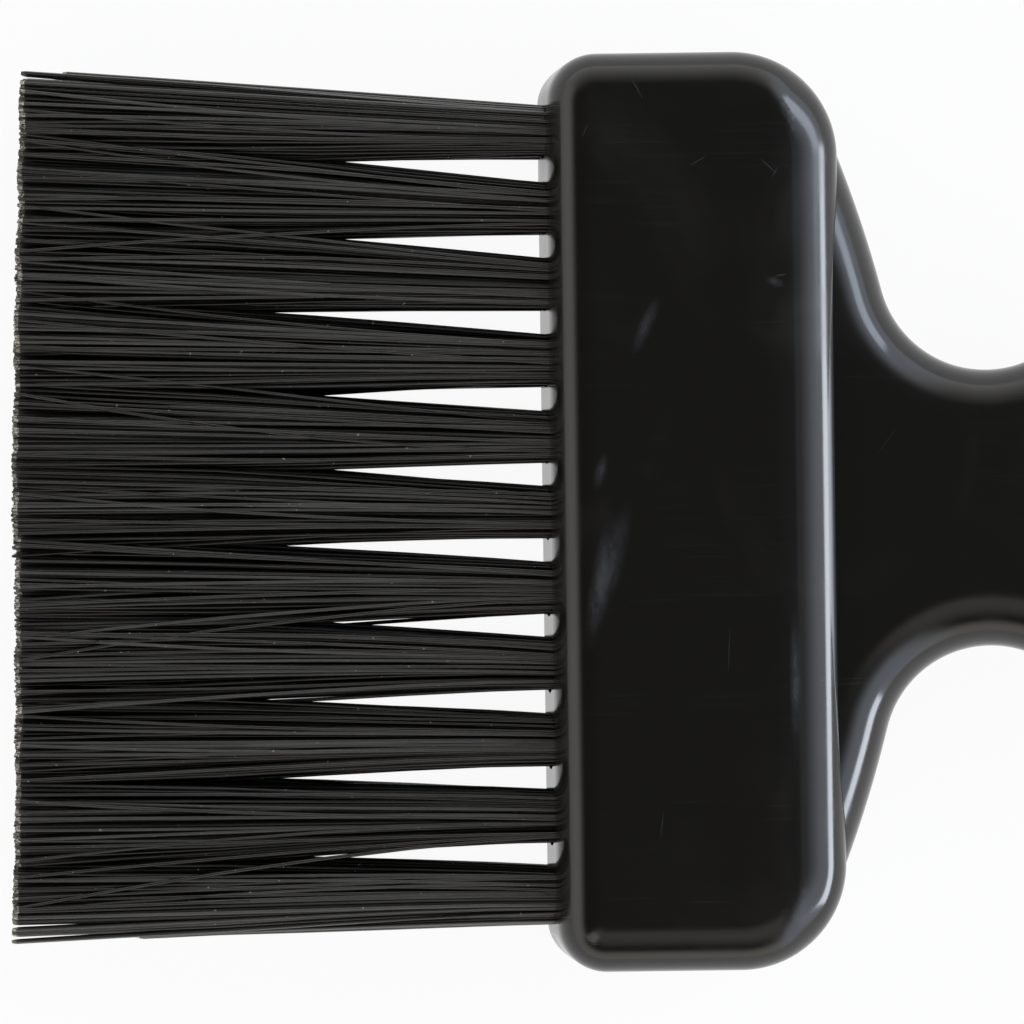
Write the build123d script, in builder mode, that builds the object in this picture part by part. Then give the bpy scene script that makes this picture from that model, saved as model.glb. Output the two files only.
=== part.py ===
"""Wide hair tint brush: one black moulding of head and handle, with staple-set nylon tufts.

Millimetres. X runs along the brush, from the bristle tips (-X) to the tail (+X). Y runs across the
head. Z is up, and the brush lies on its head: the origin is the middle of the head's underside.
"""

import os
from math import acos, atan2, cos, degrees, hypot, pi, radians, sin

from build123d import *

# Tuft holes, drilled into the front of the head
columns = 11
rows = 2
column_pitch = 5.0
row_pitch = 4.4
hole_radius = 1.75
hole_depth = 8.6

# Head block, built round the holes
head_length = 18.9
end_margin = 5.0  # from the centre of the last hole to the side of the head
face_margin = 4.8  # from the centre of a hole to the top or bottom of the head
head_edge_radius = 3.0
front_corner_extra = 0.2  # added to the edge radius at the front corners, seen from above
back_corner_radius = 6.9
crown_radius = 6.2  # the top and bottom roll down towards the handle
crown_run = 4.5  # length of that roll, measured to the back of the head

# Handle outline, seen from above
overall_length = 215.0
neck_inset = 0.4  # the neck leaves the head just inside its back corners
shoulder_angle = 72.6  # slope of the shoulders, from the brush's length
waist_width = 18.1
waist_radius = 7.0
thumb_swell = 6.4  # how much wider the handle is at the thumb than at the waist
thumb_radius = 17.0
tail_width = 15.0

# Handle thickness, which tapers to the tail
neck_thickness = 10.6
tail_thickness = 7.6
handle_edge_radius = 3.6
side_flat = 0.2  # least height of the handle's sides between its rounded edges

# Hanging hole in the tail
hang_radius = 2.5
hang_chamfer = 0.7
hang_from_end = 8.0

# Anchors: flat wire plates, each driven in across its tuft's fold
anchor_height = 1.6
anchor_wire = 0.4
anchor_bite = 0.3  # how far each end cuts into the wall of the hole
anchor_turn = 45.0  # all anchors lean the same way, so that no thin wall is split
anchor_lead = 0.25  # corner cut that leads the plate in
anchor_clearance = 0.02

# Tuft roots
root_sides = 12  # the filaments pack to a roughly round bundle
root_clearance = 0.03
root_stand_out = 0.4  # packed length of the root outside the hole
fold_thickness = 0.8  # filaments below the anchor

# Bristle strands
bristle_length = 35.4  # at the middle of the head
trim_slant = 1.5  # how much longer the bristles are at the -Y end than at the +Y end
strands_per_ring = (1, 4, 9)
strand_radius = 0.35
strand_sides = 3
strand_margin = 0.08  # between the outer strands and the rim of the root
strand_overlap = 0.3  # strand length inside the root
splay_length = 16.0  # distance from the head over which a tuft opens
tuft_gap = 0.16  # between two opened tufts
tip_spread_width = 2.4  # how much further apart the outer tufts are at the tips
tip_spread_height = 1.6
tip_lean = 0.9  # sideways set of the tips, towards +Y

# Worked out from the sizes above
head_width = (columns - 1) * column_pitch + 2 * end_margin
head_thickness = (rows - 1) * row_pitch + 2 * face_margin
mid_height = head_thickness / 2
front_x = -head_length / 2
back_x = head_length / 2
tail_x = front_x - bristle_length - trim_slant / 2 + overall_length
front_plane = Plane(origin=(front_x, 0, mid_height), x_dir=(0, 1, 0), z_dir=(1, 0, 0))
side_plane = Plane(origin=(0, 0, mid_height), x_dir=(1, 0, 0), z_dir=(0, -1, 0))
beyond = 2.0  # cutting profiles run this far past the solid


def wall_rims(part, skipped=0):
    """Edges round the top and bottom of the upright walls, without the walls furthest to -X."""
    walls = part.faces().filter_by(lambda face: abs(face.normal_at().Z) < 0.01)
    return walls.sort_by(Axis.X)[skipped:].edges().filter_by(Axis.Z, reverse=True)


# Head: a rounded block whose top and bottom roll down towards the handle
crown_x = back_x - crown_run
crown_sweep = 60.0  # past the back of the head, which cuts the roll off

with BuildPart() as head:
    with BuildSketch() as head_plan:
        Rectangle(head_length, head_width)
        fillet(head_plan.vertices().group_by(Axis.X)[0], head_edge_radius + front_corner_extra)
        fillet(head_plan.vertices().group_by(Axis.X)[-1], back_corner_radius)
    extrude(amount=head_thickness)
    with BuildSketch(side_plane):
        with BuildLine():
            flat = Line((front_x - beyond, mid_height), (crown_x, mid_height))
            crown = JernArc(flat @ 1, flat % 1, radius=crown_radius, arc_size=-crown_sweep)
            Line(crown @ 1, ((crown @ 1).X, 0))
            Line((front_x - beyond, 0), flat @ 0)
            mirror(about=Plane.XZ)
        make_face()
    extrude(amount=head_width, both=True, mode=Mode.INTERSECT)
    fillet(wall_rims(head), head_edge_radius)

# Handle: the outline is tangent all the way from the head's back corner to the tail
corner_x = back_x - back_corner_radius
corner_y = head_width / 2 - back_corner_radius
neck_corner_radius = back_corner_radius - neck_inset
waist_y = waist_width / 2
turn = radians(shoulder_angle)
shoulder_drop = corner_y - waist_y - waist_radius + (neck_corner_radius + waist_radius) * cos(turn)
shoulder_length = shoulder_drop / sin(turn)
waist_x = corner_x + (neck_corner_radius + waist_radius) * sin(turn) + shoulder_length * cos(turn)
swell = acos(1 - thumb_swell / 2 / (waist_radius + thumb_radius))
thumb_x = waist_x + (waist_radius + thumb_radius) * sin(swell)
thumb_y = waist_y + thumb_swell / 2 - thumb_radius
tail_radius = tail_width / 2
taper_run = tail_x - tail_radius - thumb_x
taper_turn = acos((thumb_radius - tail_radius) / hypot(taper_run, thumb_y))
taper = pi / 2 - atan2(-thumb_y, taper_run) - taper_turn
taper_length = hypot(taper_run, thumb_y) * sin(taper_turn)
edge_radius = min(handle_edge_radius, (min(neck_thickness, tail_thickness) - side_flat) / 2)

with BuildPart() as handle:
    with BuildSketch(Plane.XY.offset(mid_height)) as handle_plan:
        with BuildLine():
            root = Line((0, corner_y + neck_corner_radius), (corner_x, corner_y + neck_corner_radius))
            corner = JernArc(root @ 1, root % 1, radius=neck_corner_radius, arc_size=-shoulder_angle)
            shoulder = PolarLine(corner @ 1, shoulder_length, angle=-shoulder_angle)
            waist = JernArc(
                shoulder @ 1, shoulder % 1, radius=waist_radius, arc_size=shoulder_angle + degrees(swell)
            )
            thumb = JernArc(waist @ 1, waist % 1, radius=thumb_radius, arc_size=-degrees(swell + taper))
            side = PolarLine(thumb @ 1, taper_length, angle=-degrees(taper))
            JernArc(side @ 1, side % 1, radius=tail_radius, arc_size=degrees(taper) - 90)
            mirror(about=Plane.XZ)
            Line(root @ 0, (0, -corner_y - neck_corner_radius))
        make_face()
    extrude(amount=head_thickness / 2, both=True)
    with BuildSketch(side_plane):
        Polygon(
            (0, neck_thickness / 2),
            (0, -neck_thickness / 2),
            (tail_x, -tail_thickness / 2),
            (tail_x, tail_thickness / 2),
            align=None,
        )
    extrude(amount=head_width, both=True, mode=Mode.INTERSECT)
    fillet(wall_rims(handle, skipped=1), edge_radius)
    with Locations((tail_x - hang_from_end, 0, mid_height)):
        Hole(radius=hang_radius)
    hole_wall = handle.faces().filter_by(GeomType.CYLINDER).filter_by(
        lambda face: abs(face.radius - hang_radius) < 0.001
    )
    chamfer(hole_wall.edges().filter_by(Axis.Z, reverse=True), hang_chamfer)

# The moulding, with its tuft holes, which run along +X from the front of the head. Each anchor has
# scored a groove down both sides of its hole on the way in
anchor_bottom = hole_depth - fold_thickness
anchor_length = 2 * (hole_radius + anchor_bite)

with BuildPart() as anchor_grooves:
    with BuildSketch(front_plane.offset(anchor_bottom + anchor_clearance)):
        with GridLocations(column_pitch, row_pitch, columns, rows):
            Rectangle(
                anchor_length + 2 * anchor_clearance,
                anchor_wire + 2 * anchor_clearance,
                rotation=anchor_turn,
            )
    extrude(amount=-anchor_bottom - beyond)

with BuildPart() as moulded_body:
    add(head.part)
    add(handle.part)
    with BuildSketch(front_plane):
        with GridLocations(column_pitch, row_pitch, columns, rows):
            Circle(hole_radius)
    extrude(amount=hole_depth, mode=Mode.SUBTRACT)
    add(anchor_grooves.part, mode=Mode.SUBTRACT)
moulded_body.part.label = "moulded_body"

# One anchor and one root, placed as in a hole at the middle of the front
with BuildPart() as anchor:
    plate_plane = Plane(
        origin=(front_x + anchor_bottom, 0, mid_height),
        x_dir=(0, cos(radians(anchor_turn)), sin(radians(anchor_turn))),
        z_dir=(0, -sin(radians(anchor_turn)), cos(radians(anchor_turn))),
    )
    with BuildSketch(plate_plane) as plate:
        Rectangle(anchor_length, anchor_height, align=(Align.CENTER, Align.MIN))
        chamfer(plate.vertices().group_by(Axis.X)[-1], anchor_lead)
    extrude(amount=anchor_wire / 2, both=True)

root_radius = hole_radius - root_clearance
with BuildPart() as tuft_root:
    with BuildSketch(front_plane.offset(-root_stand_out)):
        RegularPolygon(root_radius, root_sides)
    extrude(amount=root_stand_out + hole_depth)
    with BuildSketch(front_plane.offset(anchor_bottom + anchor_clearance)):
        Rectangle(2 * hole_radius, anchor_wire + 2 * anchor_clearance, rotation=anchor_turn)
    extrude(amount=-anchor_height - 2 * anchor_clearance, mode=Mode.SUBTRACT)

# Strands open from each root until the tufts nearly meet, then run on towards the tips
outer_ring = root_radius * cos(pi / root_sides) - strand_radius - strand_margin
ring_step = outer_ring / (len(strands_per_ring) - 1)
strand_start_x = front_x - root_stand_out + strand_overlap
splay_x = front_x - splay_length
splay_share = splay_length / bristle_length


def tuft_centre(column, row, share):
    """Centre (y, z) of a tuft, at a share of the way from the head to the tips."""
    wider = 1 + share * tip_spread_width / ((columns - 1) * column_pitch)
    higher = 1 + share * tip_spread_height / row_pitch
    y = (column - (columns - 1) / 2) * column_pitch * wider + share * tip_lean
    z = mid_height + (row - (rows - 1) / 2) * row_pitch * higher
    return y, z


def opening(share):
    """How far a tuft has opened across the columns and across the rows, as factors."""
    y, z = tuft_centre(0, 0, share)
    next_y, next_z = tuft_centre(1, 1, share)
    across = (next_y - y - tuft_gap) / 2 - strand_radius
    upright = (next_z - z - tuft_gap) / 2 - strand_radius
    return across / outer_ring, upright / outer_ring


def strand(column, row, ring_radius, angle):
    """One bristle strand, from inside the root to the tip."""
    tip_y = tuft_centre(column, row, 1)[0] + ring_radius * cos(angle) * opening(1)[0]
    tip_x = front_x - bristle_length + trim_slant * tip_y / head_width
    with BuildPart() as made:
        for x, share in ((strand_start_x, 0), (splay_x, splay_share), (tip_x, 1)):
            y, z = tuft_centre(column, row, share)
            wide, high = opening(share) if share else (1, 1)
            place = (y + ring_radius * cos(angle) * wide, z + ring_radius * sin(angle) * high)
            with BuildSketch(Plane.YZ.offset(x)):
                with Locations(place):
                    RegularPolygon(strand_radius, strand_sides, rotation=degrees(angle))
        loft(ruled=True)
    return made.part


def tuft(column, row):
    """A tuft: its folded root with all its strands."""
    strands = [
        strand(column, row, ring * ring_step, 2 * pi * (k + 0.5) / count)
        for ring, count in enumerate(strands_per_ring)
        for k in range(count)
    ]
    y, z = tuft_centre(column, row, 0)
    with BuildPart() as made:
        with Locations((0, y, z - mid_height)):
            add(tuft_root.part)
        add(strands)
    return made.part


def seated_anchor(column, row):
    """An anchor, moved to its hole."""
    y, z = tuft_centre(column, row, 0)
    with BuildPart() as made:
        with Locations((0, y, z - mid_height)):
            add(anchor.part)
    return made.part


# Write every piece to its own file
pieces = {"moulded_body": moulded_body.part}
for row, row_name in enumerate(("lower", "upper")):
    for column in range(columns):
        pieces[f"tuft_{row_name}_{column + 1:02d}"] = tuft(column, row)
        pieces[f"anchor_{row_name}_{column + 1:02d}"] = seated_anchor(column, row)

os.makedirs("parts", exist_ok=True)
for name, piece in pieces.items():
    piece.label = name
    export_step(piece, f"parts/{name}.step")
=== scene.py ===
import random
from math import acos, atan2, cos, exp, hypot, pi, radians, sin, sqrt, tan

import bmesh
import bpy
from mathutils import Matrix, Vector, noise


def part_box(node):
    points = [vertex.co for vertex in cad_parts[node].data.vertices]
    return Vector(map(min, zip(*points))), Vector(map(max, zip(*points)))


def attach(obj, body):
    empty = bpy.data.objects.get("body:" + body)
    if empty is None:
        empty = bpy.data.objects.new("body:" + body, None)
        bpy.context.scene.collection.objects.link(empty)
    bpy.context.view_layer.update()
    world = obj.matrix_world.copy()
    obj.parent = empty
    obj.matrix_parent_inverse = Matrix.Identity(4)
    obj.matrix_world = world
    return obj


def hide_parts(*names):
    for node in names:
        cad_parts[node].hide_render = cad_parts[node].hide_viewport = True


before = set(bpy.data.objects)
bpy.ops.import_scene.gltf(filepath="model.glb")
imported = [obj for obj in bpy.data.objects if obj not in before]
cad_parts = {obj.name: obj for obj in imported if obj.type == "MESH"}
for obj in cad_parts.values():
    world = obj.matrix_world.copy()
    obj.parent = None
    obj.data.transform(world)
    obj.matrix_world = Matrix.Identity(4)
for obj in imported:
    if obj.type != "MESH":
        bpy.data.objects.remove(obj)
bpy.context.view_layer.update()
print("frame loaded:", len(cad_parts), "nodes")

mm = 0.001  # pieces are modelled in millimetres and brought to metres when they are finished


def inMillimetres(corner):
    return Vector(corner) / mm


bodyLow, bodyHigh = map(inMillimetres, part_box("moulded_body"))
midHeight = (bodyLow.z + bodyHigh.z) / 2
frontX, tailX = bodyLow.x, bodyHigh.x


def vertsOf(geom):
    return [g for g in geom if isinstance(g, bmesh.types.BMVert)]


# Outlines: each call draws on from the last vertex and returns the new one

def step(bm, tip, offset):
    moved = bmesh.ops.extrude_vert_indiv(bm, verts=[tip])["verts"][0]
    moved.co += Vector(offset)
    return moved


def sweep(bm, tip, centre, axis, turn, steps):
    spun = bmesh.ops.spin(
        bm, geom=[tip], cent=centre, axis=axis, dvec=(0, 0, 0), angle=turn, steps=steps,
        use_merge=False, use_normal_flip=False, use_duplicate=False,
    )
    return vertsOf(spun["geom_last"])[0]


def straight(bm, tip, heading, length):
    return step(bm, tip, Vector((cos(heading), sin(heading), 0)) * length)


def arc(bm, tip, heading, radius, turn, steps):
    side = 1 if turn > 0 else -1
    centre = tip.co + Vector((-sin(heading), cos(heading), 0)) * radius * side
    return sweep(bm, tip, centre, (0, 0, 1), turn, steps)


def slabFromHalf(bm, thickness):
    # mirrors a half outline over the long axis, fills it and gives it its thickness
    bmesh.ops.mirror(bm, geom=bm.verts[:] + bm.edges[:], matrix=Matrix(), merge_dist=1e-4, axis="Y")
    bmesh.ops.contextual_create(bm, geom=bm.edges[:])
    raised = bmesh.ops.extrude_face_region(bm, geom=bm.faces[:])["geom"]
    bmesh.ops.translate(bm, vec=(0, 0, thickness), verts=vertsOf(raised))
    bmesh.ops.recalc_face_normals(bm, faces=bm.faces[:])


def roundRims(bm, radius, fromX=-1e6):
    rims = [
        edge for edge in bm.edges
        if abs(edge.verts[0].co.z - edge.verts[1].co.z) < 1e-4 and max(v.co.x for v in edge.verts) > fromX
    ]
    bmesh.ops.bevel(
        bm, geom=rims, offset=radius, offset_type="OFFSET", segments=14, profile=0.5,
        affect="EDGES", clamp_overlap=False, material=-1,
    )
    caps = [face for face in bm.faces if abs(face.normal.z) > 0.999 and len(face.verts) > 20]
    # a hair-thin rim round each cap keeps its middle shaded truly flat
    bmesh.ops.inset_region(bm, faces=caps, thickness=0.05, depth=0, use_even_offset=True)


def newPiece(name, bm, material):
    mesh = bpy.data.meshes.new(name)
    bmesh.ops.recalc_face_normals(bm, faces=bm.faces[:])
    bm.to_mesh(mesh)
    bm.free()
    piece = bpy.data.objects.new(name, mesh)
    bpy.context.scene.collection.objects.link(piece)
    mesh.materials.append(material)
    return piece


def carve(piece, bm):
    cutter = newPiece("cutter", bm, piece.data.materials[0])
    boolean = piece.modifiers.new("carve", "BOOLEAN")
    boolean.object, boolean.operation, boolean.solver = cutter, "DIFFERENCE", "EXACT"
    carved = bpy.data.meshes.new_from_object(piece.evaluated_get(bpy.context.evaluated_depsgraph_get()))
    piece.modifiers.clear()
    carved.name = piece.data.name + "Carved"
    piece.data = carved
    bpy.data.objects.remove(cutter)


def toMetres(piece, sharpAngle):
    piece.data.transform(Matrix.Scale(mm, 4))
    piece.data.shade_smooth()
    piece.data.set_sharp_from_angle(angle=radians(sharpAngle))
    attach(piece, "root")


# Shader maths

class Signal:  # a node's output, on which + - * / ** and > add Math nodes, with a number on either side
    def __init__(self, tree, socket):
        self.tree, self.socket = tree, socket

    def maths(self, operation, first, second):
        return self.tree.add("ShaderNodeMath", {"operation": operation}, {0: first, 1: second})

    def __add__(self, other): return self.maths("ADD", self, other)
    def __radd__(self, other): return self.maths("ADD", other, self)
    def __sub__(self, other): return self.maths("SUBTRACT", self, other)
    def __rsub__(self, other): return self.maths("SUBTRACT", other, self)
    def __mul__(self, other): return self.maths("MULTIPLY", self, other)
    def __rmul__(self, other): return self.maths("MULTIPLY", other, self)
    def __truediv__(self, other): return self.maths("DIVIDE", self, other)
    def __rtruediv__(self, other): return self.maths("DIVIDE", other, self)
    def __pow__(self, other): return self.maths("POWER", self, other)
    def __rpow__(self, other): return self.maths("POWER", other, self)
    def __gt__(self, other): return self.maths("GREATER_THAN", self, other)
    def __lt__(self, other): return self.maths("LESS_THAN", self, other)

    def eased(self, start, end):  # 0 at start, 1 at end, smooth between
        return self.tree.add("ShaderNodeMapRange", {"interpolation_type": "SMOOTHSTEP"}, {
            "Value": self, "From Min": start, "From Max": end,
        })


class Tree:
    def __init__(self, owner):
        owner.use_nodes = True
        self.nodes, self.links = owner.node_tree.nodes, owner.node_tree.links
        self.nodes.clear()

    def add(self, kind, settings, sockets, output=0):
        node = self.nodes.new(kind)
        for name, value in settings.items():
            setattr(node, name, value)
        for name, value in sockets.items():
            if isinstance(value, Signal):
                self.links.new(value.socket, node.inputs[name])
            else:
                node.inputs[name].default_value = value
        return Signal(self, node.outputs[output])

    def place(self, stretch, turn=0.0):  # Object coordinates, scaled along each axis
        spot = self.add("ShaderNodeTexCoord", {}, {}, "Object")
        return self.add("ShaderNodeMapping", {}, {
            "Vector": spot, "Rotation": (0, 0, radians(turn)), "Scale": stretch,
        })

    def noise(self, vector, detail, roughness=0.5, distortion=0.0):
        return self.add("ShaderNodeTexNoise", {}, {
            "Vector": vector, "Scale": 1.0, "Detail": detail, "Roughness": roughness, "Distortion": distortion,
        })

    def spot(self, centre, size, turn):
        # 1 at a place on the piece and 0 outside an ellipse round it, in millimetres
        spot = self.add("ShaderNodeTexCoord", {}, {}, "Object")
        local = self.add("ShaderNodeMapping", {"vector_type": "TEXTURE"}, {
            "Vector": spot, "Location": [c * mm for c in centre], "Rotation": (0, 0, radians(turn)),
            "Scale": [c * mm for c in size],
        })
        reach = self.add("ShaderNodeVectorMath", {"operation": "LENGTH"}, {0: local}, "Value")
        return reach.eased(1.0, 0.0)

    def blend(self, factor, first, second):
        return self.add("ShaderNodeMix", {"data_type": "RGBA"}, {"Factor": factor, 6: first, 7: second}, 2)

    def finish(self, shader, kind="ShaderNodeOutputMaterial"):
        self.links.new(shader.socket, self.nodes.new(kind).inputs["Surface"])


def material(name):
    made = bpy.data.materials.new(name)
    return made, Tree(made)


def tinted(colour, strength):
    return (*(strength * part for part in colour), 1)


# Gloss-black moulded plastic

gloss = {
    "colour": (0.0088, 0.0082, 0.0074),
    "handledPale": 1.6,  # how much paler it is where it was handled
    "roughness": 0.11,
    "smudge": 0.10,  # roughness added where it was handled
    "flow": 0.05,  # and where the plastic flowed unevenly in its mould
    "rubbedRoughness": 0.2,
    "rubbedPale": 0.22,  # how far each kind of mark goes towards the colour of bare scratches
    "nickPale": 0.4,
    "hairlinePale": 0.035,
    "markColour": (0.105, 0.11, 0.13, 1),
    "haze": [  # rubbed places: centre, size and turn
        ((-5.75, -3.5, 14), (5.0, 1.0, 2), 74),
        ((-6.5, -4.6, 14), (5.2, 0.8, 2), 80),
        ((-6.3, 2.7, 14), (1.5, 0.5, 2), 76),
        ((-3.2, 12.2, 14), (2.4, 0.6, 2), 66),
        ((5.2, 14.9, 14), (0.8, 0.4, 2), -20),
        ((6.2, -11.0, 14), (0.5, 5.5, 2), 0),
    ],
    "nicks": [  # short deeper scratches
        ((4.9, 22.4, 14), (0.9, 0.035, 2), -44),
        ((5.3, 22.0, 14), (0.5, 0.035, 2), 58),
        ((0.3, 22.8, 14), (0.8, 0.03, 2), 30),
        ((-3.6, 27.6, 14), (1.1, 0.04, 2), -62),
        ((-7.0, 24.9, 14), (0.6, 0.04, 2), 64),
        ((5.6, 15.3, 14), (0.45, 0.06, 2), 8),
        ((-2.6, -20.4, 14), (1.3, 0.03, 2), 83),
        ((1.9, -9.1, 14), (2.2, 0.025, 2), 87),
        ((12.4, 4.4, 11), (2.4, 0.03, 2), 52),
    ],
    "hairlines": [  # polishing lines, nearly all along or across the head: turn and stretch
        (2, (60, 7000, 60)), (88, (50, 6500, 50)), (61, (90, 8000, 90)),
    ],
}


def mouldedPlastic():
    made, tree = material("glossBlackMoulding")
    flow = tree.noise(tree.place((60, 22, 60)), 3.0)
    handled = tree.noise(tree.place((90, 70, 90)), 4.0, 0.6, 0.6).eased(0.50, 0.72)
    rubbed, nicks = [sum(tree.spot(*place) for place in gloss[marks]) for marks in ("haze", "nicks")]
    rubbed = rubbed * (tree.noise(tree.place((1500, 600, 1500)), 4.0, 0.7).eased(0.35, 0.65) * 0.5 + 0.5)
    hairlines = 0
    for turn, stretch in gloss["hairlines"]:
        line = tree.noise(tree.place(stretch, turn), 1.0).eased(0.60, 0.74)
        where = tree.noise(tree.place((170, 170, 170), turn), 2.0).eased(0.46, 0.70)
        hairlines = hairlines + line * where
    base = tree.blend(handled * 0.5, tinted(gloss["colour"], 1), tinted(gloss["colour"], gloss["handledPale"]))
    marks = rubbed * gloss["rubbedPale"] + nicks * gloss["nickPale"] + hairlines * gloss["hairlinePale"]
    base = tree.blend(marks, base, gloss["markColour"])
    rough = handled * gloss["smudge"] + flow * gloss["flow"] + rubbed * gloss["rubbedRoughness"]
    ripple = tree.noise(tree.place((240, 240, 240)), 2.0)
    dents = ripple * 0.5 - hairlines * 0.25 - nicks
    bump = tree.add("ShaderNodeBump", {}, {"Strength": 0.35, "Distance": 0.00002, "Height": dents})
    shader = tree.add("ShaderNodeBsdfPrincipled", {}, {
        "Base Color": base,
        "Roughness": rough + gloss["roughness"],
        "IOR": 1.5,
        "Normal": bump,
    })
    tree.finish(shader)
    return made


# Black nylon

nylon = {
    "dark": (0.0043, 0.0039, 0.0035, 1),
    "light": (0.029, 0.027, 0.023, 1),
    "cutEnd": (0.60, 0.57, 0.49, 1),
    "paleShare": 0.85,  # a few filaments are much paler than the rest
    "streakShare": 0.15,
    "fleck": (0.4, 0.4, 0.37, 1),
    "roughness": 0.12,
    "sheen": 0.88,  # how strongly the filaments shine
}


def nylonFilament():
    made, tree = material("blackNylon")
    shade = tree.add("ShaderNodeNewGeometry", {}, {}, "Random Per Island")
    streak = tree.noise(tree.place((160, 4000, 4000)), 2.0).eased(0.35, 0.7)
    pale = shade ** 4 * nylon["paleShare"] + streak * nylon["streakShare"]
    fleck = tree.noise(tree.place((3300, 3300, 3300)), 1.0) > 0.78
    base = tree.blend(fleck * 0.6, tree.blend(pale, nylon["dark"], nylon["light"]), nylon["fleck"])
    shader = tree.add("ShaderNodeBsdfPrincipled", {}, {
        "Base Color": base,
        "Roughness": shade * 0.3 + streak * 0.1 + nylon["roughness"],
        "IOR": 1.6,
        "Specular IOR Level": nylon["sheen"],
    })
    tree.finish(shader)
    return made


def cutNylon():
    made, tree = material("cutNylonEnds")
    shade = tree.add("ShaderNodeNewGeometry", {}, {}, "Random Per Island")
    torn = tree.noise(tree.place((6000, 9000, 9000)), 2.0).eased(0.38, 0.6)
    base = tree.blend(shade.eased(0.1, 0.75) * torn, nylon["light"], nylon["cutEnd"])
    tree.finish(tree.add("ShaderNodeBsdfPrincipled", {}, {"Base Color": base, "Roughness": torn * 0.3 + 0.4}))
    return made


# Drawn steel wire of the anchors

def anchorSteel():
    made, tree = material("anchorSteel")
    drawn = tree.noise(tree.place((400, 9000, 9000)), 3.0)
    shader = tree.add("ShaderNodeBsdfPrincipled", {}, {
        "Base Color": tree.blend(drawn, (0.48, 0.48, 0.46, 1), (0.66, 0.66, 0.63, 1)),
        "Metallic": 1.0,
        "Roughness": drawn * 0.2 + 0.25,
        "Normal": tree.add("ShaderNodeBump", {}, {"Strength": 0.3, "Distance": 0.00002, "Height": drawn}),
    })
    tree.finish(shader)
    return made


plastic, bristleNylon, bristleEnds, steel = mouldedPlastic(), nylonFilament(), cutNylon(), anchorSteel()
print("materials made")


# Head block

headShape = {
    "rim": 3.0,
    "length": 18.9,
    "frontCorner": 3.2,
    "backCorner": 6.9,
    "frontDraft": 8.0,  # the front wall leans out to its parting line, half way up
    "crownRadius": 6.2,  # top and bottom roll down towards the handle
    "crownRun": 4.5,
    "crownCuts": 8,  # across the flats, so that they can bend
    "crownCutStep": 0.22,
}
holes = {
    "radius": 1.75,
    "depth": 8.6,
    "grooveReach": 2.07,
    "grooveWidth": 0.44,
    "grooveDepth": 7.82,
    "grooveTurn": 45,
    "cutterOut": 4,  # how far the cutters stand out of the front
}
columns, rows = range(1, 12), ("lower", "upper")
headWidth = bodyHigh.y - bodyLow.y
headThickness = bodyHigh.z - bodyLow.z
backX = frontX + headShape["length"]


def holeCentre(row, column):
    low, high = map(inMillimetres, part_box(f"anchor_{row}_{column:02d}"))
    return (low.y + high.y) / 2, (low.z + high.z) / 2


def crownDrop(x):
    # how far the rolled crown lies below a plain rounded rim, at x
    crownX, rimX, rim = backX - headShape["crownRun"], backX - headShape["rim"], headShape["rim"]
    radius = headShape["crownRadius"]
    touchX = crownX + (rimX - crownX) * radius / (radius - rim)
    at = min(x, touchX)
    if at <= crownX:
        return 0
    roll = radius - sqrt(radius ** 2 - (at - crownX) ** 2)
    plain = rim - sqrt(rim ** 2 - max(at - rimX, 0) ** 2)
    return roll - plain


def draftOut(x, z):
    # how far the front wall leans out at this height, fading round the front corners
    draft = radians(headShape["frontDraft"])
    top = headThickness / 2 - headShape["rim"] * (1 - sin(draft))
    facing = max(frontX + headShape["frontCorner"] - x, 0) / headShape["frontCorner"]
    return facing ** 2 * tan(draft) * max(top - abs(z - midHeight), 0)


def makeHead():
    bm = bmesh.new()
    front, back = headShape["frontCorner"], headShape["backCorner"]
    tip = bm.verts.new((frontX, 0, bodyLow.z))
    tip = straight(bm, tip, pi / 2, headWidth / 2 - front)
    tip = arc(bm, tip, pi / 2, front, -pi / 2, steps=20)
    tip = straight(bm, tip, 0, headShape["length"] - front - back)
    tip = arc(bm, tip, 0, back, -pi / 2, steps=32)
    straight(bm, tip, -pi / 2, headWidth / 2 - back)
    slabFromHalf(bm, headThickness)
    roundRims(bm, headShape["rim"])
    crownX = backX - headShape["crownRun"]
    cuts = [((crownX + n * headShape["crownCutStep"], 0, 0), (1, 0, 0)) for n in range(headShape["crownCuts"])]
    for spot, facing in cuts + [((0, 0, midHeight), (0, 0, 1))]:
        everything = bm.verts[:] + bm.edges[:] + bm.faces[:]
        bmesh.ops.bisect_plane(bm, geom=everything, dist=1e-4, plane_co=spot, plane_no=facing)
    for vert in bm.verts:
        vert.co.z -= crownDrop(vert.co.x) * (1 if vert.co.z > midHeight else -1)
        vert.co.x -= draftOut(vert.co.x, vert.co.z)
    head = newPiece("head", bm, plastic)

    bores, grooves = bmesh.new(), bmesh.new()
    for row in rows:
        for column in columns:
            y, z = holeCentre(row, column)
            deep = holes["depth"] + holes["cutterOut"]
            seat = Matrix.Translation((frontX + holes["depth"] - deep / 2, y, z))
            bmesh.ops.create_cone(
                bores, cap_ends=True, segments=40, radius1=holes["radius"], radius2=holes["radius"], depth=deep,
                matrix=seat @ Matrix.Rotation(pi / 2, 4, "Y"),
            )
            deep = holes["grooveDepth"] + holes["cutterOut"]
            seat = Matrix.Translation((frontX + holes["grooveDepth"] - deep / 2, y, z))
            turned = Matrix.Rotation(radians(holes["grooveTurn"]), 4, "X")
            size = Matrix.Diagonal((deep, 2 * holes["grooveReach"], holes["grooveWidth"], 1))
            bmesh.ops.create_cube(grooves, size=1, matrix=seat @ turned @ size)
    carve(head, bores)
    carve(head, grooves)
    toMetres(head, 14)
    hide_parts("moulded_body")


# Handle

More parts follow.
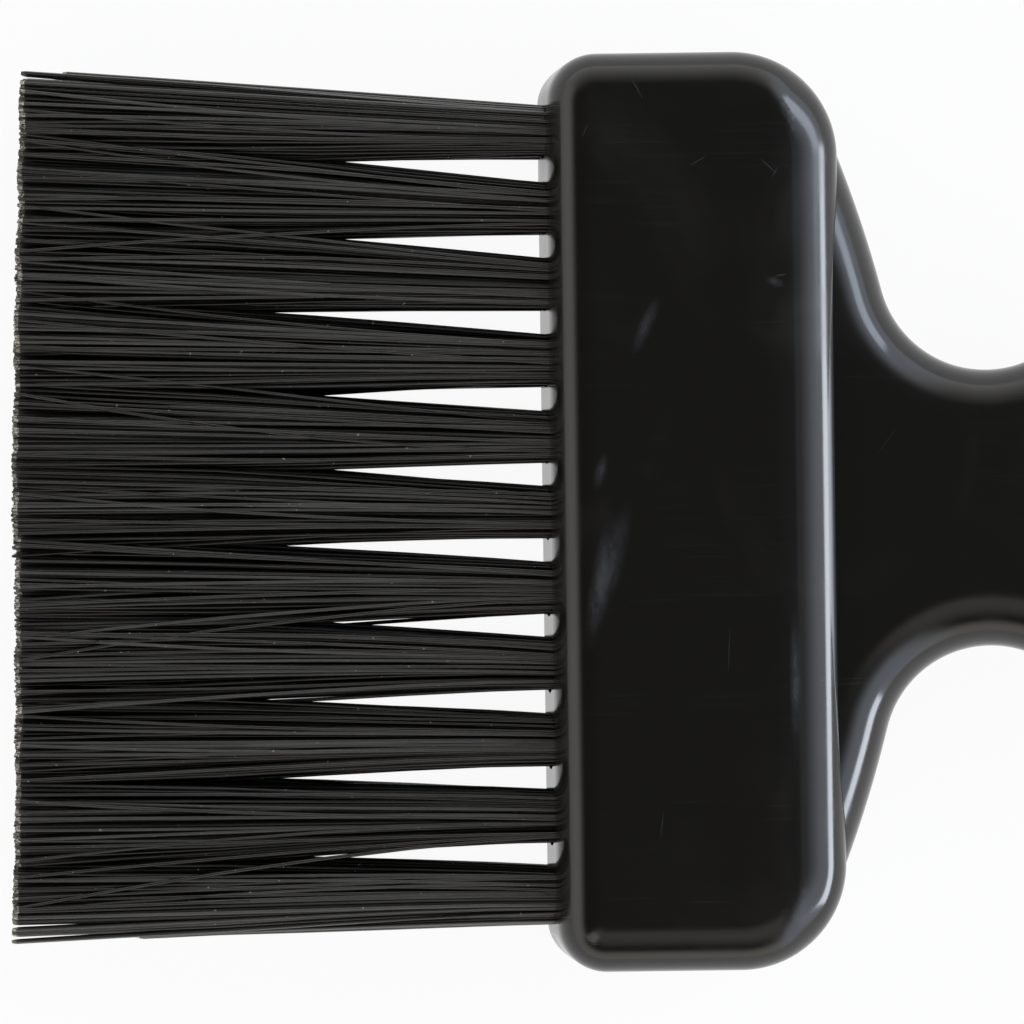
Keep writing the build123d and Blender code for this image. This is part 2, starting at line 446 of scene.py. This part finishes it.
handleShape = {
    "neckThickness": 10.6,
    "tailThickness": 7.6,
    "rim": 3.6,
    "cornerInset": 0.4,  # the neck leaves just inside the head's back corners
    "flankRadius": 80.0,
    "flankSlope": 75.7,  # steepest slope of the shoulder, from the brush's length
    "waist": 18.1,
    "waistRadius": 7.0,
    "thumbSwell": 6.4,
    "thumbRadius": 17.0,
    "tail": 15.0,
}
hangHole = {
    "radius": 2.5,
    "lip": 0.7,
    "lipTurn": 80,
    "lipRun": (0.3, 0.05),  # outwards and up from the lip's edge, to clear the surface
    "fromEnd": 8.0,
}


def makeHandle():
    shape = handleShape
    cornerX, cornerY = backX - headShape["backCorner"], headWidth / 2 - headShape["backCorner"]
    corner = headShape["backCorner"] - shape["cornerInset"]
    slope, flank, waist = radians(shape["flankSlope"]), shape["flankRadius"], shape["waistRadius"]
    turn = acos((cornerY - shape["waist"] / 2 - waist + (flank + waist) * cos(slope)) / (flank - corner))
    waistX = cornerX + corner * sin(turn) + flank * (sin(slope) - sin(turn)) + waist * sin(slope)
    thumb, tail = shape["thumbRadius"], shape["tail"] / 2
    swell = acos(1 - shape["thumbSwell"] / 2 / (waist + thumb))
    thumbX = waistX + (waist + thumb) * sin(swell)
    thumbY = (shape["waist"] + shape["thumbSwell"]) / 2 - thumb
    # the straight side touches the thumb swell's arc and the tail's
    run = tailX - tail - thumbX
    apart = hypot(run, thumbY)
    touch = acos((thumb - tail) / apart)
    taper = pi / 2 - atan2(-thumbY, run) - touch
    side = apart * sin(touch)

    bm = bmesh.new()
    half = shape["neckThickness"] / 2
    tip = bm.verts.new((0, 0, midHeight - half))
    tip = straight(bm, tip, pi / 2, cornerY + corner)
    tip = straight(bm, tip, 0, cornerX)
    tip = arc(bm, tip, 0, corner, -turn, steps=24)
    tip = arc(bm, tip, -turn, flank, turn - slope, steps=10)
    tip = arc(bm, tip, -slope, waist, slope + swell, steps=40)
    tip = arc(bm, tip, swell, thumb, -swell - taper, steps=24)
    tip = straight(bm, tip, -taper, side)
    arc(bm, tip, -taper, tail, taper - pi / 2, steps=30)
    slabFromHalf(bm, 2 * half)
    roundRims(bm, shape["rim"], 0.01)
    thinning = (shape["neckThickness"] - shape["tailThickness"]) / 2
    for vert in bm.verts:
        vert.co.z -= thinning * vert.co.x / tailX * (1 if vert.co.z > midHeight else -1)
    handle = newPiece("handle", bm, plastic)

    # the hanging hole's cutter: a spool whose ends flare into the lips
    spool = bmesh.new()
    radius, lip, x = hangHole["radius"], hangHole["lip"], tailX - hangHole["fromEnd"]
    top = shape["tailThickness"] / 2 + thinning * hangHole["fromEnd"] / tailX
    edge = spool.verts.new((x, 0, midHeight))
    edge = step(spool, edge, (radius, 0, 0))
    edge = step(spool, edge, (0, 0, top - lip))
    edge = sweep(spool, edge, edge.co + Vector((lip, 0, 0)), (0, 1, 0), radians(hangHole["lipTurn"]), steps=12)
    edge = step(spool, edge, (hangHole["lipRun"][0], 0, hangHole["lipRun"][1]))
    edge = step(spool, edge, (0, 0, 1))
    step(spool, edge, (x - edge.co.x, 0, 0))
    bmesh.ops.mirror(
        spool, geom=spool.verts[:] + spool.edges[:], matrix=Matrix.Translation((0, 0, midHeight)),
        merge_dist=1e-4, axis="Z",
    )
    bmesh.ops.delete(spool, geom=[v for v in spool.verts if not v.link_edges], context="VERTS")
    bmesh.ops.spin(
        spool, geom=spool.verts[:] + spool.edges[:], cent=(x, 0, midHeight), axis=(0, 0, 1), dvec=(0, 0, 0),
        angle=2 * pi, steps=48, use_merge=True, use_normal_flip=False, use_duplicate=False,
    )
    bmesh.ops.remove_doubles(spool, verts=spool.verts[:], dist=1e-4)
    carve(handle, spool)
    toMetres(handle, 8)
    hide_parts("moulded_body")


makeHead()
makeHandle()
print("moulding made")


# Tufts of nylon filament

tufts = {
    # a tuft
    "filaments": 180,
    "thickness": 0.25,
    "rootRadius": 1.6,
    "depth": 5.8,  # how far the filaments reach into the hole, to the anchor
    "length": 35.35,
    "steps": (0.0, 0.12, 0.27, 0.44, 0.62, 0.81),  # shares of the length at which a filament may bend
    "rootJitter": 0.2,
    # how it opens
    "flare": 0.0376,  # up and down
    "lateFlare": 0.022,
    "gapFlares": (  # into each gap of the row, from -Y
        0.039, 0.036, 0.0455, 0.0575, 0.034, 0.0485, 0.0425, 0.036, 0.055, 0.061,
    ),
    "outerFlare": 0.0215,  # the free sides of the end tufts open less
    "meet": 17.0,  # beyond this the tufts meet and open more slowly
    "openBy": 1.26,  # how much wider a tuft is at its tips, to each side
    "squareBy": 22.0,  # a round tuft has grown square by here
    "squareness": 0.7,
    # how it stands
    "columnSpread": 2.4 / 50,
    "rowSpread": 1.6 / 4.4,
    "lean": 0.9,
    "nearLean": 0.36,  # the -Y half leans a little more towards +Y
    "nearLeanEnds": 8.0,  # and this fades out this far beyond the middle
    "nearLeanRoot": (0.65, 6.0),  # the share still missing at the front of the head, and how soon it is made up
    "nearLeanLoss": 0.5,  # the share lost again by the tips
    "partings": {  # open places at the tips: where, from which length on, and how wide
        1: [(-26.93, 21, 0.33), (-27.69, 25, 0.29)],
        11: [(29.5, 20, 0.3)],
    },
    "partingReach": 0.3,  # half of a parting's push is left this far from it
    "sightHeight": 700.0,  # a parting is open to a look from this high above the middle
    # how its filaments stray
    "stray": 0.009,  # sideways, for each millimetre of length
    "strayUp": 0.5,  # and this share of it up or down
    "wildShare": 0.1,  # these filaments stray further
    "wildness": 2.6,
    "driftStart": 0.35,
    "bend": 0.1,
    "clumping": 0.07,
    "clumpPitch": 5.5,
    "clumpPhase": (2.1, 1.3),  # each column and row clumps in its own places
    "edgeFrom": (0.6, 0.4),  # beyond this the filaments of an end tuft keep in line
    "edgeDrift": 0.12,
    "edgeBend": 0.4,
    "crossing": 9,  # loose filaments over each upper tuft
    "crossingSpread": 0.8,
    "crossingStray": 0.03,
    # how it was trimmed and worn
    "trim": 0.06,
    "trimSlant": 1.5 / 60,  # shorter towards +Y
    "ripple": 0.17,
    "ripplePitch": (0.42, 0.25),
    "uneven": 0.12,
    "worn": (0.30, 0.40, 0.38, 0.31, 0.22, -0.03, -0.06, -0.02, 0.02, 0.07, 0.14),  # off each column, from -Y
    "rowStep": 0.18,  # the upper row is this much shorter
    "bulge": 0.32,  # the lower tufts reach this much further in their middle
    "short": {11: (0.8, 2.4), 1: (1.01, 8.0)},  # filaments beyond this place were cut short
    "shortVaries": 0.3,
    "cutEnd": 0.29,  # the pale end of a filament
    "cutEndRadius": 0.6,
    "cutEndFace": 0.045,  # faces smaller than this belong to it
}


def tuftPath(chance, row, column, a, b, crossing):
    # one filament's points, with a and b its place in the round hole, -1 to 1
    centreY, centreZ = holeCentre(row, column)
    outer = 1 if column == columns[-1] else -1 if column == columns[0] else 0
    endTuft = a * outer > 0
    full, meet = tufts["length"], tufts["meet"]
    reach = hypot(a, b)
    square = min(reach, 1) / max(abs(a), abs(b), 1e-6)
    wild = tufts["wildness"] if chance.random() < tufts["wildShare"] else 1
    driftY, driftZ = (chance.gauss(0, tufts["stray"]) * wild for _ in range(2))
    driftY += crossing
    bend = chance.gauss(0, tufts["bend"])
    phase = tufts["clumpPhase"][0] * column + tufts["clumpPhase"][1] * rows.index(row)
    if endTuft and (reach > tufts["edgeFrom"][0] or abs(a) > tufts["edgeFrom"][1]):
        driftY, bend = -abs(driftY) * outer * tufts["edgeDrift"], bend * tufts["edgeBend"]
    flare = tufts["outerFlare"] if endTuft else tufts["gapFlares"][column - 1 if a > 0 else column - 2]
    lateFlare = flare if endTuft else (tufts["openBy"] - flare * meet) / (full - meet)
    ends, (missing, within) = tufts["nearLeanEnds"], tufts["nearLeanRoot"]
    nearLean = tufts["nearLean"] * min(max((ends - centreY) / (2 * ends), 0), 1)

    def at(s):
        share = s / full
        spread = min(s, meet)
        late = max(s - meet, 0)
        flareY = flare * spread + lateFlare * late
        flareZ = tufts["flare"] * spread + tufts["lateFlare"] * late
        drift = s * (tufts["driftStart"] + (1 - tufts["driftStart"]) * share)
        fill = 1 + (square - 1) * min(s / tufts["squareBy"], 1) ** 1.5 * tufts["squareness"]
        y = centreY * (1 + share * tufts["columnSpread"]) + share * tufts["lean"]
        z = midHeight + (centreZ - midHeight) * (1 + share * tufts["rowSpread"])
        y += nearLean * (1 - missing * exp(-s / within) - tufts["nearLeanLoss"] * share)
        y += a * fill * (tufts["rootRadius"] + flareY) + driftY * drift + bend * sin(pi * share)
        y += tufts["clumping"] * share * sin(tufts["clumpPitch"] * a + phase) * (1 - abs(a))
        z += b * fill * (tufts["rootRadius"] + flareZ) + driftZ * drift * tufts["strayUp"]
        for start, push in pushes:
            y += push * max(s - start, 0) / (full - start)
        return Vector((frontX - s, y, z))

    pushes = []
    end = at(full)
    for place, start, gap in tufts["partings"].get(column, []):
        away = end.y - place * (1 - end.z / tufts["sightHeight"])
        pushes.append((start, gap / 2 * (1 if away > 0 else -1) * 0.5 ** (abs(away) / tufts["partingReach"])))
    pitchY, pitchZ = tufts["ripplePitch"]
    ripple = tufts["ripple"] * noise.noise(Vector((end.y * pitchY, end.z * pitchZ, 3.1)))
    ripple += tufts["uneven"] * chance.random()
    length = full - tufts["trimSlant"] * end.y - tufts["trim"] + ripple - tufts["worn"][column - 1]
    length += tufts["bulge"] * (0.5 - a * a) if row == rows[0] else -tufts["rowStep"]
    if endTuft and abs(a) > tufts["short"][column][0]:
        length -= tufts["short"][column][1] + tufts["shortVaries"] * chance.random()
    root = at(0) + Vector((tufts["depth"], 0, 0))
    along = [at(length * share) for share in tufts["steps"]]
    return [root, *along, at(length - tufts["cutEnd"]), at(length)]


def filamentPlaces(chance, row, column):
    # where each filament stands in its hole, packed evenly from the middle out, and how far it crosses its tuft
    places = []
    for n in range(tufts["filaments"]):
        reach = sqrt((n + 0.5) / tufts["filaments"])
        angle = n * pi * (3 - sqrt(5)) + chance.gauss(0, tufts["rootJitter"])
        places.append((reach * cos(angle), reach * sin(angle), 0))
    if row == rows[-1]:
        for n in range(tufts["crossing"]):
            spread = tufts["crossingSpread"]
            places.append((chance.uniform(-spread, spread), 0.99, chance.gauss(0, tufts["crossingStray"])))
    if column == columns[0]:  # short ones beside the tuft at -Y
        places += [(-1.1 - 0.04 * n, 0.5 - 0.35 * n, 0) for n in range(4)]
    return places


def makeTuft(row, column):
    chance = random.Random(100 * rows.index(row) + column)
    curve = bpy.data.curves.new("tuft", "CURVE")
    curve.dimensions = "3D"
    curve.bevel_depth, curve.bevel_resolution = tufts["thickness"] / 2, 1
    curve.use_fill_caps = True
    for place in filamentPlaces(chance, row, column):
        path = tuftPath(chance, row, column, *place)
        spline = curve.splines.new("POLY")
        spline.points.add(len(path) - 1)
        for point, spot in zip(spline.points, path):
            point.co = (*spot, 1)
        spline.points[-1].radius = tufts["cutEndRadius"]
    shape = bpy.data.objects.new("tuft", curve)
    mesh = bpy.data.meshes.new_from_object(shape)
    bpy.data.objects.remove(shape)
    name = f"bristles_{row}_{column:02d}"
    mesh.name = name
    mesh.materials.clear()
    mesh.materials.append(bristleNylon)
    mesh.materials.append(bristleEnds)
    for face in mesh.polygons:
        face.material_index = int(face.area < tufts["cutEndFace"])
    piece = bpy.data.objects.new(name, mesh)
    bpy.context.scene.collection.objects.link(piece)
    toMetres(piece, 80)
    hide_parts(f"tuft_{row}_{column:02d}")


for row in rows:
    for column in columns:
        makeTuft(row, column)
print("tufts made")

for name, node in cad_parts.items():
    if name.startswith("anchor"):
        node.data.materials.clear()
        node.data.materials.append(steel)


# Floor, light and camera

studio = {
    "floorSize": 8.0,
    "floorGlow": 0.94,  # share of the floor's white that the camera sees without light
    "left": 1.5,  # brightness of the pale surroundings on each side
    "far": 1.8,
    "farFall": 2.3,  # how fast it darkens upwards
    "near": 1.4,
    "nearOverhead": 0.6,
    "cornerOverhead": 1.3,
    "right": 2.2,
    "everywhere": 0.04,
    "leftColour": (1, 0.985, 0.95, 1),
    "farColour": (1, 0.985, 0.95, 1),
    "nearColour": (1, 0.94, 0.84, 1),
    "rightColour": (0.80, 0.88, 1.0, 1),
    "lampAim": (0.0, 0, 0.01),
    "lamps": {  # place in metres, width, height, radiance and colour
        "window": ((1.24, -0.20, 0.18), 0.84, 0.34, 12.0, (0.86, 0.91, 1.0)),
        "skyLight": ((0.50, 0.20, 0.245), 0.32, 0.17, 5.5, (0.74, 0.84, 1.0)),
    },
}


def makeFloor():
    bm = bmesh.new()
    bmesh.ops.create_grid(bm, x_segments=1, y_segments=1, size=studio["floorSize"] / mm / 2)
    made, tree = material("paleFloor")
    floor = newPiece("floor", bm, made)
    floor.data.transform(Matrix.Scale(mm, 4))
    rays = ("Is Camera Ray", "Is Glossy Ray", "Is Transmission Ray")
    seen = sum(tree.add("ShaderNodeLightPath", {}, {}, ray) for ray in rays)
    direct = tree.add("ShaderNodeMath", {"operation": "MINIMUM"}, {0: seen, 1: 1.0})
    matt = tree.add("ShaderNodeBsdfDiffuse", {}, {"Color": (0.9, 0.9, 0.9, 1)})
    glow = tree.add("ShaderNodeEmission", {}, {"Color": (1, 1, 1, 1), "Strength": 1.0})
    tree.finish(tree.add("ShaderNodeMixShader", {}, {0: direct * studio["floorGlow"], 1: matt, 2: glow}))


def makeSurroundings():
    world = bpy.data.worlds.new("studio")
    bpy.context.scene.world = world
    tree = Tree(world)
    way = tree.add("ShaderNodeTexCoord", {}, {}, "Generated")
    x, y, z = (tree.add("ShaderNodeSeparateXYZ", {}, {"Vector": way}, axis) for axis in "XYZ")
    level = (x * x + y * y + 0.0004) ** 0.5
    across, along = y / level, x / level
    # pale all round near the level of the floor, each side in its own way, and dark overhead
    left = (z.eased(-0.05, 0.3) * 0.35 + 0.65) * z.eased(0.72, 0.42) * studio["left"]
    fading = studio["far"] - z * studio["farFall"]
    far = tree.add("ShaderNodeMath", {"operation": "MAXIMUM"}, {0: fading, 1: 0.0})
    near = z.eased(0.52, 0.22) * studio["near"]
    near = near + z.eased(0.52, 0.9) * z.eased(1.0, 0.95) * studio["nearOverhead"]
    farSide, nearSide = across.eased(0.3, 0.85), across.eased(-0.3, -0.85)
    around = left * (1 - farSide - nearSide) + far * farSide + near * nearSide
    corner = ((along + 0.7) ** 2 + (across + 0.7) ** 2).eased(0.12, 0.0)  # high up between left and near
    corner = corner * z.eased(0.5, 0.62) * z.eased(0.95, 0.8)
    right = x.eased(0.25, 0.65)
    glow = right * (0.98 - z).eased(0.0, 0.45) ** 1.6
    colour = tree.blend(nearSide, studio["leftColour"], studio["nearColour"])
    colour = tree.blend(farSide, colour, studio["farColour"])
    colour = tree.blend(right, colour, studio["rightColour"])
    strength = (around + corner * studio["cornerOverhead"]) * (1 - right) + glow * studio["right"]
    strength = strength + studio["everywhere"]
    camera = tree.add("ShaderNodeLightPath", {}, {}, "Is Camera Ray")
    light = tree.add("ShaderNodeBackground", {}, {"Color": colour, "Strength": strength})
    white = tree.add("ShaderNodeBackground", {}, {"Color": (1, 1, 1, 1), "Strength": 1.0})
    tree.finish(tree.add("ShaderNodeMixShader", {}, {0: camera, 1: light, 2: white}), "ShaderNodeOutputWorld")


def makeLamp(name, spot, width, height, radiance, colour):
    lamp = bpy.data.lights.new(name, "AREA")
    lamp.shape, lamp.size, lamp.size_y = "RECTANGLE", width, height
    lamp.energy, lamp.color = radiance * pi * width * height, colour
    made = bpy.data.objects.new(name, lamp)
    bpy.context.scene.collection.objects.link(made)
    made.location = spot
    made.rotation_euler = (Vector(studio["lampAim"]) - Vector(spot)).to_track_quat("-Z", "Y").to_euler()
    made.visible_camera = False


view = {
    "centre": (-12.09, 0.13),
    "width": 67.28,
    "distance": 700.0,
    "roll": -0.77,
    "sensor": 36,
}


def makeCamera():
    lens = bpy.data.cameras.new("camera")
    camera = bpy.data.objects.new("camera", lens)
    bpy.context.scene.collection.objects.link(camera)
    lens.sensor_width = view["sensor"]
    lens.lens = view["sensor"] * (view["distance"] - midHeight) / view["width"]
    lens.clip_start, lens.clip_end = 0.01, 20
    camera.location = (view["centre"][0] * mm, view["centre"][1] * mm, view["distance"] * mm)
    camera.rotation_euler = (0, 0, radians(view["roll"]))
    bpy.context.scene.camera = camera


makeFloor()
makeSurroundings()
for name, lamp in studio["lamps"].items():
    makeLamp(name, *lamp)
makeCamera()
bpy.context.scene.view_settings.view_transform = "Standard"
print("studio made")
